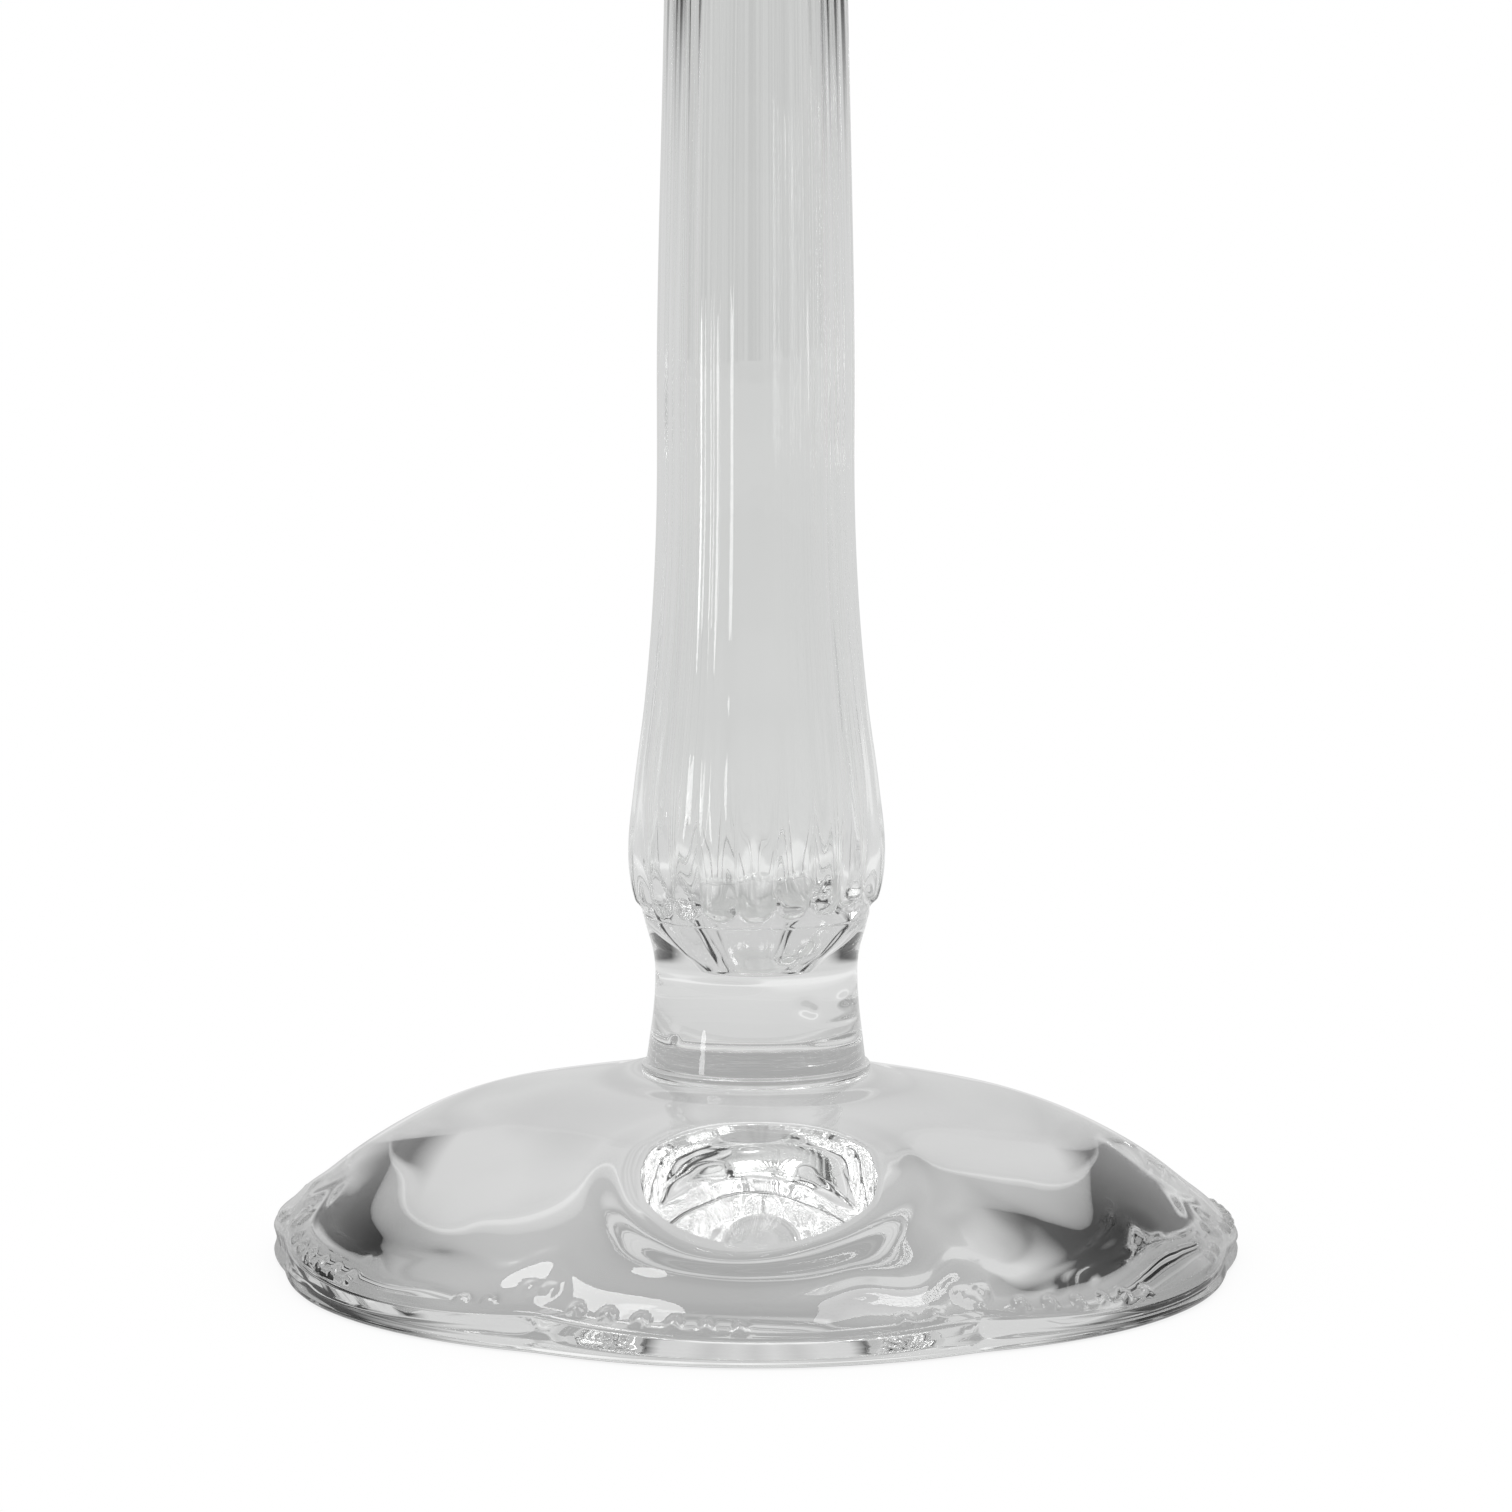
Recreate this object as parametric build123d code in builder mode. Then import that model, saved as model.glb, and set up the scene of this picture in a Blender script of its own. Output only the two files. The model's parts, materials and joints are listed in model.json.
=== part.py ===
"""Glass candlestick with a reeded hollow stem.

A pressed foot with a lobed, beaded rim carries a thin wafer, a solid neck and a blown stem, whose sealed air
space ends in a cone inside the neck. A collar closes the stem's top and carries a lobed drip pan and a candle
nozzle. Every joint is glass fused face to face, so nothing moves.

Frame: +Z runs up the axis of the candlestick, and the origin is the centre of the ring it stands on.
All sizes are in millimetres.
"""

import os
from math import asin, cos, degrees, radians, sin

from build123d import *

# ---- Driving dimensions -------------------------------------------------------------------------------------

lobe_count = 7
lobe_pitch = 360 / lobe_count
first_notch = lobe_pitch / 2 - 90  # degrees; the front, at -90, is the middle of a lobe
rib_count = 20

# Heights of the joints, from the table up.
foot_top = 23.1
wafer_top = 24.3
stem_seat = 34.6  # flat bottom of the stem's cone
rib_start = 42.6  # where the ribs end above the neck
stem_top = 197.0
collar_top = 205.0
pan_floor = 209.0
nozzle_top = 238.0

# Foot: an ogee, hollow towards the neck and round towards the rim.
foot_radius = 61.0  # to the outermost point of a lobe
seat_radius = 14.2
notch_depth = 1.5  # how far the outline steps in between two lobes
notch_fillet = 5.0
rim_rounding = 0.9
underside_rise = 5.2  # the underside is a shallow dome, so the foot stands on a ring
ring_inner_radius = 52.0

# Relief on the rim of the foot: a lobed ridge, and pearls on both sides of each notch.
ridge_radius = 56.4
ridge_notch = 4.6  # how far the ridge steps in between two lobes
ridge_width = 1.7
ridge_height = 0.8
pearl_angles = (8.0, 11.5, 15.0, 18.5)  # from a notch
pearl_radius = 0.95
pearl_circle = 57.8
pearl_height = 5.9

# The top of the foot before its rim is cut to the lobed outline, as (radius, height).
foot_stations = (
    (seat_radius, foot_top),
    (20.0, 21.7),
    (30.0, 19.5),
    (38.0, 17.5),
    (44.0, 15.1),
    (50.5, 11.6),
    (pearl_circle, pearl_height),
    (foot_radius + 1, 2.4),
)

# Neck and stem.
neck_foot_radius = 13.6
neck_waist_radius = 12.6
neck_waist_height = 35.5
neck_rim_radius = 14.2
cone_top_radius = 13.0
cone_bottom_radius = 5.4
cavity_floor = 36.0
cavity_floor_radius = 3.9
wall = 2.9  # from the crest of a rib to the air space
stem_bore = 5.6  # the opening of the stem that the collar closes

# Outer radius of the stem over its ribs, as (height, radius, depth of the grooves).
stem_stations = (
    (rib_start, 14.7, 0.75),
    (46.0, 15.5, 0.70),
    (50.5, 15.9, 0.65),
    (59.0, 15.1, 0.60),
    (69.0, 13.8, 0.50),
    (82.0, 12.7, 0.42),
    (97.0, 12.15, 0.38),
    (112.0, 12.1, 0.38),
    (131.0, 11.8, 0.38),
    (154.0, 11.25, 0.38),
    (174.0, 10.75, 0.42),
    (187.0, 10.8, 0.50),
    (stem_top, 9.9, 0.55),
)

# Collar, drip pan and candle nozzle.
collar_foot_radius = 9.3
collar_waist_radius = 7.6
pan_seat_radius = 10.5
pan_radius = 38.0
pan_thickness = 3.2
pan_rise = 3.0
nozzle_bore = 11.25  # for a household taper of about 22 mm
nozzle_depth = 25.0
nozzle_base_radius = 11.5
nozzle_waist_radius = 13.4
nozzle_lip_radius = 16.2
nozzle_lip_rounding = 1.5


# ---- Shared shapes ------------------------------------------------------------------------------------------


def polar(radius, angle, height=None):
    """The point at an angle in degrees around the axis."""
    flat = (radius * cos(radians(angle)), radius * sin(radians(angle)))
    return flat if height is None else (*flat, height)


def lobed_outline(radius, depth):
    """The outline of a lobed plate: one arc for each lobe, with the notches between them rounded."""
    with BuildSketch() as outline:
        with BuildLine():
            for lobe in range(lobe_count):
                notch = first_notch + lobe * lobe_pitch
                ThreePointArc(
                    polar(radius - depth, notch),
                    polar(radius, notch + lobe_pitch / 2),
                    polar(radius - depth, notch + lobe_pitch),
                )
        make_face()
        fillet(outline.vertices(), notch_fillet)
    return outline.sketch


# ---- Foot ---------------------------------------------------------------------------------------------------

with BuildPart() as ridge:
    with BuildSketch(Plane.XZ):
        with BuildLine():
            raised = [(radius, height + ridge_height) for radius, height in foot_stations]
            Spline(*raised)
            Polyline(raised[-1], (raised[-1][0], rim_rounding), (raised[0][0], rim_rounding), raised[0])
        make_face()
    revolve(axis=Axis.Z)
    with BuildSketch():
        add(lobed_outline(ridge_radius, ridge_notch))
        add(lobed_outline(ridge_radius - ridge_width, ridge_notch), mode=Mode.SUBTRACT)
    extrude(amount=foot_top, mode=Mode.INTERSECT)

with BuildPart() as foot:
    with BuildSketch(Plane.XZ):
        with BuildLine():
            blank_radius = foot_stations[-1][0]
            hollow_radius = (ring_inner_radius**2 + underside_rise**2) / (2 * underside_rise)
            Spline(*foot_stations)
            Polyline(foot_stations[-1], (blank_radius, 0), (ring_inner_radius, 0))
            underside = JernArc(
                (0, underside_rise), (1, 0), hollow_radius, -degrees(asin(ring_inner_radius / hollow_radius))
            )
            Polyline(underside @ 0, (0, foot_top), foot_stations[0])
        make_face()
    revolve(axis=Axis.Z)
    extrude(lobed_outline(foot_radius, notch_depth), amount=foot_top, mode=Mode.INTERSECT)
    side_faces = foot.faces().filter_by(lambda face: abs(face.normal_at().Z) < 0.01)
    fillet(side_faces.edges().filter_by(Axis.Z, reverse=True), rim_rounding)
    add(ridge.part)
    with Locations((0, 0, pearl_height)):
        for angle in pearl_angles:
            with PolarLocations(pearl_circle, lobe_count, start_angle=first_notch + angle):
                Sphere(pearl_radius)
            with PolarLocations(pearl_circle, lobe_count, start_angle=first_notch - angle):
                Sphere(pearl_radius)
foot.part.label = "foot"

# ---- Wafer between foot and neck ----------------------------------------------------------------------------

with BuildPart() as foot_wafer:
    with Locations((0, 0, foot_top)):
        Cylinder(seat_radius, wafer_top - foot_top, align=(Align.CENTER, Align.CENTER, Align.MIN))
    fillet(foot_wafer.edges().filter_by(GeomType.CIRCLE), 0.45 * (wafer_top - foot_top))
foot_wafer.part.label = "foot_wafer"

# ---- Solid neck, cupped for the stem's cone -----------------------------------------------------------------

with BuildPart() as lower_neck:
    with BuildSketch(Plane.XZ):
        with BuildLine():
            Polyline((0, stem_seat), (0, wafer_top), (neck_foot_radius, wafer_top))
            Spline(
                (neck_foot_radius, wafer_top),
                (neck_waist_radius, neck_waist_height),
                (neck_rim_radius, rib_start),
                tangents=((-0.3, 1), (0.25, 1)),
            )
            Polyline(
                (neck_rim_radius, rib_start),
                (cone_top_radius, rib_start),
                (cone_bottom_radius, stem_seat),
                (0, stem_seat),
            )
        make_face()
    revolve(axis=Axis.Z)
lower_neck.part.label = "lower_neck"

# ---- Blown stem ---------------------------------------------------------------------------------------------

with BuildPart() as stem:
    for height, radius, groove in stem_stations:
        with BuildSketch(Plane.XY.offset(height)):
            with BuildLine():
                for rib in range(rib_count):
                    ThreePointArc(
                        polar(radius - groove, (rib - 0.5) * 360 / rib_count),
                        polar(radius, rib * 360 / rib_count),
                        polar(radius - groove, (rib + 0.5) * 360 / rib_count),
                    )
            make_face()
    loft()
    with BuildSketch(Plane.XZ):
        with BuildLine():
            Polyline(
                (0, rib_start),
                (0, stem_seat),
                (cone_bottom_radius, stem_seat),
                (cone_top_radius, rib_start),
                close=True,
            )
        make_face()
    revolve(axis=Axis.Z)
    with BuildSketch(Plane.XZ):
        with BuildLine():
            inner_wall = [(radius - wall, height) for height, radius, groove in stem_stations[1:-1]]
            inner_wall.append((stem_bore, stem_top))
            Polyline((0, stem_top), (0, cavity_floor), (cavity_floor_radius, cavity_floor), inner_wall[0])
            Spline(*inner_wall)
            Line(inner_wall[-1], (0, stem_top))
        make_face()
    revolve(axis=Axis.Z, mode=Mode.SUBTRACT)
stem.part.label = "stem"

# ---- Collar, drip pan and candle nozzle ---------------------------------------------------------------------

with BuildPart() as upper_neck:
    with BuildSketch(Plane.XZ):
        with BuildLine():
            collar_middle = (stem_top + collar_top) / 2
            Polyline((0, collar_top), (0, stem_top), (collar_foot_radius, stem_top))
            ThreePointArc(
                (collar_foot_radius, stem_top),
                (collar_waist_radius, collar_middle),
                (pan_seat_radius, collar_top),
            )
            Line((pan_seat_radius, collar_top), (0, collar_top))
        make_face()
    revolve(axis=Axis.Z)
upper_neck.part.label = "upper_neck"

with BuildPart() as drip_pan:
    with BuildSketch(Plane.XZ):
        with BuildLine():
            pan_blank = pan_radius + 1
            pan_edge = collar_top + pan_rise
            Polyline((0, pan_floor), (0, collar_top), (pan_seat_radius, collar_top))
            ThreePointArc(
                (pan_seat_radius, collar_top),
                ((pan_seat_radius + pan_blank) / 2, collar_top + 0.3 * pan_rise),
                (pan_blank, pan_edge),
            )
            pan_lip = pan_edge + pan_thickness
            Line((pan_blank, pan_edge), (pan_blank, pan_lip))
            ThreePointArc(
                (pan_blank, pan_lip),
                ((nozzle_waist_radius + pan_blank) / 2, pan_floor + 0.3 * (pan_lip - pan_floor)),
                (nozzle_waist_radius, pan_floor),
            )
            Line((nozzle_waist_radius, pan_floor), (0, pan_floor))
        make_face()
    revolve(axis=Axis.Z)
    with BuildSketch(Plane.XY.offset(collar_top)):
        add(lobed_outline(pan_radius, notch_depth))
    extrude(amount=nozzle_top - collar_top, mode=Mode.INTERSECT)
    pan_sides = drip_pan.faces().filter_by(lambda face: abs(face.normal_at().Z) < 0.01)
    fillet(pan_sides.edges().filter_by(Axis.Z, reverse=True), rim_rounding)
drip_pan.part.label = "drip_pan"

with BuildPart() as candle_socket:
    with BuildSketch(Plane.XZ):
        with BuildLine():
            socket_floor = nozzle_top - nozzle_depth
            Polyline((0, socket_floor), (0, pan_floor), (nozzle_base_radius, pan_floor))
            Spline(
                (nozzle_base_radius, pan_floor),
                (nozzle_waist_radius, pan_floor + 6),
                (nozzle_waist_radius + 0.4, nozzle_top - 7),
                (nozzle_lip_radius, nozzle_top - nozzle_lip_rounding),
            )
            ThreePointArc(
                (nozzle_lip_radius, nozzle_top - nozzle_lip_rounding),
                (nozzle_lip_radius - nozzle_lip_rounding / 3, nozzle_top - nozzle_lip_rounding / 5),
                (nozzle_lip_radius - nozzle_lip_rounding, nozzle_top),
            )
            Polyline(
                (nozzle_lip_radius - nozzle_lip_rounding, nozzle_top),
                (nozzle_bore, nozzle_top),
                (nozzle_bore, socket_floor),
                (0, socket_floor),
            )
        make_face()
    revolve(axis=Axis.Z)
candle_socket.part.label = "candle_socket"

# ---- Export -------------------------------------------------------------------------------------------------

os.makedirs("parts", exist_ok=True)
for piece in (foot, foot_wafer, lower_neck, stem, upper_neck, drip_pan, candle_socket):
    export_step(piece.part, f"parts/{piece.part.label}.step")
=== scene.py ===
"""Looks of a glass candlestick: fused glass pieces on a plain pale floor, in soft studio light.

Every glass piece is a closed surface turned around the axis, with its lobes, ribs and relief worked into the
mesh. Where two pieces are fused, the faces that touch let light straight through, so the glass reads as one.
A piece's lengths are in millimetres until its mesh is made. The studio's are in metres.
"""

import json
import math
import random

import bpy
import numpy as np
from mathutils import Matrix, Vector


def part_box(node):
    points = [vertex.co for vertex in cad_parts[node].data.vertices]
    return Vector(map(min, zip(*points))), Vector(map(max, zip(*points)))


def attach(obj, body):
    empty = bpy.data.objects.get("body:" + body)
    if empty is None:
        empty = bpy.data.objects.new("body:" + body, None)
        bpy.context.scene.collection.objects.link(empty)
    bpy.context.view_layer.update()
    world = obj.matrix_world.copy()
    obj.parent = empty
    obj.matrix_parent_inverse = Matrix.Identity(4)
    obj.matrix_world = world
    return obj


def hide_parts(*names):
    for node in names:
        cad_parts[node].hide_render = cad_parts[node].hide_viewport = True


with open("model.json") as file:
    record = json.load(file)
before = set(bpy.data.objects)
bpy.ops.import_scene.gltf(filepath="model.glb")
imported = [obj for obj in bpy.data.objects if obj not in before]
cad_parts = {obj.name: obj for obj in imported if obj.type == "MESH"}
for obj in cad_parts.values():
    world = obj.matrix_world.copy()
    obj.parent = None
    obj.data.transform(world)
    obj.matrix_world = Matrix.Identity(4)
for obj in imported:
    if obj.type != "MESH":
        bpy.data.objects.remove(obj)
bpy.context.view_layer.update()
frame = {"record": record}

MM = 0.001

# ---- Sizes read from the frame ---------------------------------------------------------------------------


def level(node, end):
    """Height in millimetres of a node's bottom (end 0) or top (end 1)."""
    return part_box(node)[end][2] / MM


def half_width(node, side=1):
    """Half of a node's width in millimetres along x (side 0) or y (side 1)."""
    low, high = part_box(node)
    return (high[side] - low[side]) / 2 / MM


FOOT_TOP = level("foot", 1)
WAFER_TOP = level("foot_wafer", 1)
STEM_SEAT = level("stem", 0)
RIB_START = level("lower_neck", 1)
STEM_TOP = level("stem", 1)
COLLAR_TOP = level("upper_neck", 1)
PAN_TOP = level("drip_pan", 1)
NOZZLE_TOP = level("candle_socket", 1)
NOZZLE_BASE = level("candle_socket", 0)
FOOT_RADIUS = half_width("foot")
WAFER_RADIUS = half_width("foot_wafer")
PAN_RADIUS = half_width("drip_pan")
BULB_RADIUS = half_width("stem", 0)
LIP_RADIUS = half_width("candle_socket")
candle_bore = next(mount for mount in frame["record"]["mounts"] if mount["name"] == "candle_bore")
BORE_RADIUS = candle_bore["dims"]["r_mm"]
BORE_DEPTH = candle_bore["dims"]["length_mm"]

LOBES = 7
LOBE_PITCH = 360 / LOBES  # degrees
FIRST_NOTCH = LOBE_PITCH / 2 - 90  # degrees; the front, at -90, is the middle of a lobe
RIBS = 20

# ---- Curves ----------------------------------------------------------------------------------------------


def smooth_curve(stations):
    """A smooth function through (x, y) stations that never overshoots between two of them."""
    x, y = (np.array(values, float) for values in zip(*stations))
    slope = np.diff(y) / np.diff(x)
    tangent = np.concatenate(([slope[0]], (slope[1:] + slope[:-1]) / 2, [slope[-1]]))
    for i in range(1, len(x) - 1):
        if slope[i - 1] * slope[i] <= 0:
            tangent[i] = 0
        else:
            steepest = 3 * min(abs(slope[i - 1]), abs(slope[i]))
            tangent[i] = math.copysign(min(abs(tangent[i]), steepest), tangent[i])

    def value(at):
        at = np.clip(np.asarray(at, float), x[0], x[-1])
        i = np.clip(np.searchsorted(x, at) - 1, 0, len(x) - 2)
        span = x[i + 1] - x[i]
        t = (at - x[i]) / span
        return (
            (1 + 2 * t) * (1 - t) ** 2 * y[i]
            + t * (1 - t) ** 2 * span * tangent[i]
            + t * t * (3 - 2 * t) * y[i + 1]
            + t * t * (t - 1) * span * tangent[i + 1]
        )

    return value


def smoothstep(low, high, value):
    """0 at low and 1 at high, with a soft start and end."""
    t = np.clip((value - low) / (high - low), 0, 1)
    return t * t * (3 - 2 * t)


def hill(distance, width):
    """1 at no distance, and close to 0 from about twice the width on."""
    return np.exp(-((distance / width) ** 2))


def with_hills(base, hills, along):
    """A base value with hills on it, each given as (its place, its width, its height)."""
    for place, width, height in hills:
        base = base + height * hill(along - place, width)
    return base


def turn_from(angles, centre):
    """Signed turn in degrees from a centre, also in degrees, to angles in radians."""
    return (np.degrees(angles) - centre + 180) % 360 - 180


def polyline(points, step):
    """Points along straight runs, at most a step apart, as an array of (radius, height)."""
    out = [points[0]]
    for start, end in zip(points, points[1:]):
        count = max(1, math.ceil(math.dist(start, end) / step))
        out += [
            (start[0] + (end[0] - start[0]) * k / count, start[1] + (end[1] - start[1]) * k / count)
            for k in range(1, count + 1)
        ]
    return np.array(out)


def arc(centre, radius, start, end, count):
    """Points on an arc between two angles in degrees, as an array of (radius, height)."""
    angles = np.radians(np.linspace(start, end, count))
    return np.stack((centre[0] + radius * np.cos(angles), centre[1] + radius * np.sin(angles)), axis=1)


def waves(seed, size, count=7):
    """A gentle handmade unevenness, as a function of x, y and z, with a wavelength of about size."""
    draw = random.Random(seed)
    terms = []
    for _ in range(count):
        heading = np.array([draw.gauss(0, 1) for _ in range(3)])
        heading *= 2 * math.pi / (size * draw.uniform(0.7, 1.5) * np.linalg.norm(heading))
        terms.append((heading, draw.uniform(0, 2 * math.pi)))

    def value(x, y, z):
        return sum(np.sin(h[0] * x + h[1] * y + h[2] * z + phase) for h, phase in terms) / math.sqrt(count)

    return value


# ---- Turned surfaces -------------------------------------------------------------------------------------


def even_columns(sides):
    """Angles in radians of evenly spaced columns."""
    return np.linspace(0, 2 * math.pi, sides, endpoint=False)


class Rings:
    """The rings of a turned piece, from its first pole to its last.

    Each ring says whether the strip of faces that follows it is a fused joint.
    """

    def __init__(self, angles):
        self.angles = angles
        self.radii, self.heights, self.fused = [], [], []

    def add(self, radii, heights, joint=False):
        ones = np.ones(len(self.angles))
        self.radii.append(radii * ones)
        self.heights.append(heights * ones)
        self.fused.append(int(joint))

    def turn(self, name, node, slot):
        radii, heights = np.array(self.radii), np.array(self.heights)
        turned_piece(name, node, slot, radii, heights, self.angles, self.fused[:-1])


def turned_piece(name, node, slot, radii, heights, angles, fused):
    """A closed mesh that stands for a node, from one row of radii and heights for each ring.

    The first and last rings lie on the axis and become its two poles. A strip of faces is 0 in the piece's
    own glass and 1 in a fused joint.
    """
    x = radii * np.cos(angles) * MM
    y = radii * np.sin(angles) * MM
    z = heights * MM * np.ones_like(x)
    rings, sides = x.shape
    body = np.stack((x[1:-1], y[1:-1], z[1:-1]), axis=-1).reshape(-1, 3)
    poles = [(0, 0, z[0].mean()), (0, 0, z[-1].mean())]
    points = np.vstack((body, poles))
    bottom, top = len(body), len(body) + 1
    last = (rings - 3) * sides
    first = np.arange(last).reshape(rings - 3, sides)
    following = np.roll(first, -1, axis=1)
    quads = np.stack((first, following, following + sides, first + sides), axis=-1).reshape(-1, 4)
    side = np.arange(sides)
    beside = np.roll(side, -1)
    start_fan = np.stack((np.full(sides, bottom), beside, side), axis=-1)
    end_fan = np.stack((np.full(sides, top), last + side, last + beside), axis=-1)
    loops = np.concatenate((start_fan.ravel(), quads.ravel(), end_fan.ravel()))
    sizes = np.concatenate((np.full(sides, 3), np.full(len(quads), 4), np.full(sides, 3)))
    mesh = bpy.data.meshes.new(name)
    mesh.vertices.add(len(points))
    mesh.vertices.foreach_set("co", points.ravel())
    mesh.loops.add(len(loops))
    mesh.loops.foreach_set("vertex_index", loops)
    mesh.polygons.add(len(sizes))
    mesh.polygons.foreach_set("loop_start", np.concatenate(([0], np.cumsum(sizes)[:-1])))
    mesh.polygons.foreach_set("loop_total", sizes)
    mesh.polygons.foreach_set("material_index", np.repeat(fused, sides))
    mesh.materials.append(glasses[slot])
    mesh.materials.append(joint_glass)
    mesh.update(calc_edges=True)
    mesh.validate()
    mesh.shade_smooth()
    piece = bpy.data.objects.new(name, mesh)
    bpy.context.collection.objects.link(piece)
    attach(piece, "root")
    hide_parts(node)


def turned_plain(name, node, slot, profile, joint, sides=256, wave=None, amount=0.0):
    """A piece turned from one profile of (radius, height), with an optional unevenness of its surface.

    joint(radius, height) says where the profile is fused to a neighbour. Such a strip stays true.
    """
    angles = even_columns(sides)
    middles = (profile[1:] + profile[:-1]) / 2
    fused = [int(joint(radius, height)) for radius, height in middles]
    radii = np.repeat(profile[:, :1], sides, axis=1)
    heights = np.repeat(profile[:, 1:], sides, axis=1)
    if wave:
        free = 1 - np.maximum(fused + fused[-1:], fused[:1] + fused)[:, None]
        x, y = radii * np.cos(angles), radii * np.sin(angles)
        radii = radii * (1 - free * amount * (1 + wave(x, y, heights)))
    turned_piece(name, node, slot, radii, heights, angles, fused)


# ---- Materials -------------------------------------------------------------------------------------------

GLASS_IOR = 1.52
GLASS_TINT = (0.985, 0.99, 0.985)
CORD_SCALE = 70  # per metre
CORD_TINT = 0.03  # how much darker the cords are
RIPPLE_HEIGHT = 0.0005  # metres


def glass(name, ripple_scale, ripple, streaks=(1, 1, 1)):
    """Clear glass with faint cords in its tint and a fine ripple on its surface."""
    material = bpy.data.materials.new(name)
    material.use_nodes = True
    nodes, links = material.node_tree.nodes, material.node_tree.links
    shader = nodes["Principled BSDF"]
    shader.inputs["Transmission Weight"].default_value = 1
    shader.inputs["Roughness"].default_value = 0
    shader.inputs["IOR"].default_value = GLASS_IOR
    place = nodes.new("ShaderNodeTexCoord")
    stretch = nodes.new("ShaderNodeMapping")
    stretch.inputs["Scale"].default_value = streaks
    cords = nodes.new("ShaderNodeTexNoise")
    cords.inputs["Scale"].default_value = CORD_SCALE
    cords.inputs["Detail"].default_value = 2
    tones = nodes.new("ShaderNodeValToRGB")
    tones.color_ramp.elements[0].position = 0.3
    tones.color_ramp.elements[0].color = (*(value - CORD_TINT for value in GLASS_TINT), 1)
    tones.color_ramp.elements[1].position = 0.7
    tones.color_ramp.elements[1].color = (*GLASS_TINT, 1)
    ripples = nodes.new("ShaderNodeTexNoise")
    ripples.inputs["Scale"].default_value = ripple_scale
    ripples.inputs["Detail"].default_value = 1
    bump = nodes.new("ShaderNodeBump")
    bump.inputs["Strength"].default_value = ripple
    bump.inputs["Distance"].default_value = RIPPLE_HEIGHT
    links.new(place.outputs["Object"], stretch.inputs["Vector"])
    links.new(stretch.outputs["Vector"], cords.inputs["Vector"])
    links.new(stretch.outputs["Vector"], ripples.inputs["Vector"])
    links.new(cords.outputs["Fac"], tones.inputs["Fac"])
    links.new(tones.outputs["Color"], shader.inputs["Base Color"])
    links.new(ripples.outputs["Fac"], bump.inputs["Height"])
    links.new(bump.outputs["Normal"], shader.inputs["Normal"])
    return material


def clear_joint():
    """The inside of a hot joint, where light goes straight through."""
    material = bpy.data.materials.new("fused_joint")
    material.use_nodes = True
    nodes, links = material.node_tree.nodes, material.node_tree.links
    nodes.remove(nodes["Principled BSDF"])
    clear = nodes.new("ShaderNodeBsdfTransparent")
    links.new(clear.outputs["BSDF"], nodes["Material Output"].inputs["Surface"])
    return material


joint_glass = clear_joint()
# The glasses, under the names of the record's material slots.
glasses = {
    "pressed_glass": glass("pressed_glass", 25, 0.02),
    "clear_glass": glass("clear_glass", 30, 0.015),
    "blown_glass": glass("blown_glass", 40, 0.012, streaks=(1, 1, 0.15)),
}

# ---- Lobed rim -------------------------------------------------------------------------------------------

NOTCH_DEPTH = 1.5
NOTCH_ROUND = 1.5  # degrees over which the bottom of a notch is rounded
NOTCH_REACH = LOBE_PITCH / 2 - 1.4  # degrees from a notch to where the outline is full


def from_notch(angles):
    """Signed turn in degrees from the nearest notch of the lobed rim."""
    return (np.degrees(angles) - FIRST_NOTCH + LOBE_PITCH / 2) % LOBE_PITCH - LOBE_PITCH / 2


def lobed(radius, angles):
    """Radius of the lobed outline, rounded in its notches."""
    away = np.sqrt(from_notch(angles) ** 2 + NOTCH_ROUND**2) - NOTCH_ROUND
    return radius - NOTCH_DEPTH * (1 - np.clip(away / NOTCH_REACH, 0, 1)) ** 2


# ---- Foot ------------------------------------------------------------------------------------------------

NECK_FOOT_RADIUS = 13.6
RIM_LIP = 0.9  # radius of the quarter round at the floor
RIM_WAIST = 0.35  # depth of the waist above it
EDGE_ROUND = 0.8  # radius of the round at the top of the edge
FOOT_SKEW = 0.011  # the dome stands a little higher on the left, as a hand-made one does
FULL_SHOULDER = 0.35  # how much fuller the dome's left shoulder is
DOME_SWAY = 0.1

RING_INNER = 52.0
UNDERSIDE_RISE = 5.2
UNDERSIDE_RUN_OUT = 1.2  # mm², how softly the hollow ends at the ring
SETTLES_FROM = 40.0  # radius from which the underside is brought down to the floor

# The border ridge, with hills along the rim given as (distance from the notch, width, height).
RIDGE_INSET = 3.4  # from the outline to its crest, which swings in around each shell and once more before it
RIDGE_SWINGS = ((0, 4.5, 2.2), (-14, 5, 1.2))
RIDGE_HEIGHT = 0.14
RIDGE_SWELLS = ((-2, 9, 0.24), (-16, 8, 0.2))
RIDGE_WIDTH = 1.5
GROOVE_DEPTH = 0.25  # of the ridge's height
GROOVE_WIDTH = 1.2
GROOVE_OFFSET = 2.2  # from the ridge's crest out to the groove

# The soft fold inside the ridge.
FOLD_INSET = 10
FOLD_PLACE = -8  # from the notch, along the rim
FOLD_HEIGHT = 0.05

# The shell in each notch.
SHELL_INSET = 3.3  # from the outline to its root
SHELL_REACH = 2.7
SHELL_HEIGHT = 0.2
SHELL_FLUTES = 2.6  # how fast its flutes follow each other around its root

# Pearls beside a notch, as (degrees from it, radius): a long chain on one side and a short one on the other.
CHAIN_END = 24.0  # degrees from the notch to the last pearl of the long chain
PEARLS = (
    (5.4, 1.15), (9.2, 1.15), (13.0, 1.1), (16.8, 1.1), (20.4, 1.0), (CHAIN_END, 0.9),
    (-5.6, 1.0), (-9.2, 0.9),
)
PEARL_INSET = 0.95
PEARL_HEIGHT = 0.6  # of its radius
RELIEF_FADE = 0.3

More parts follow.
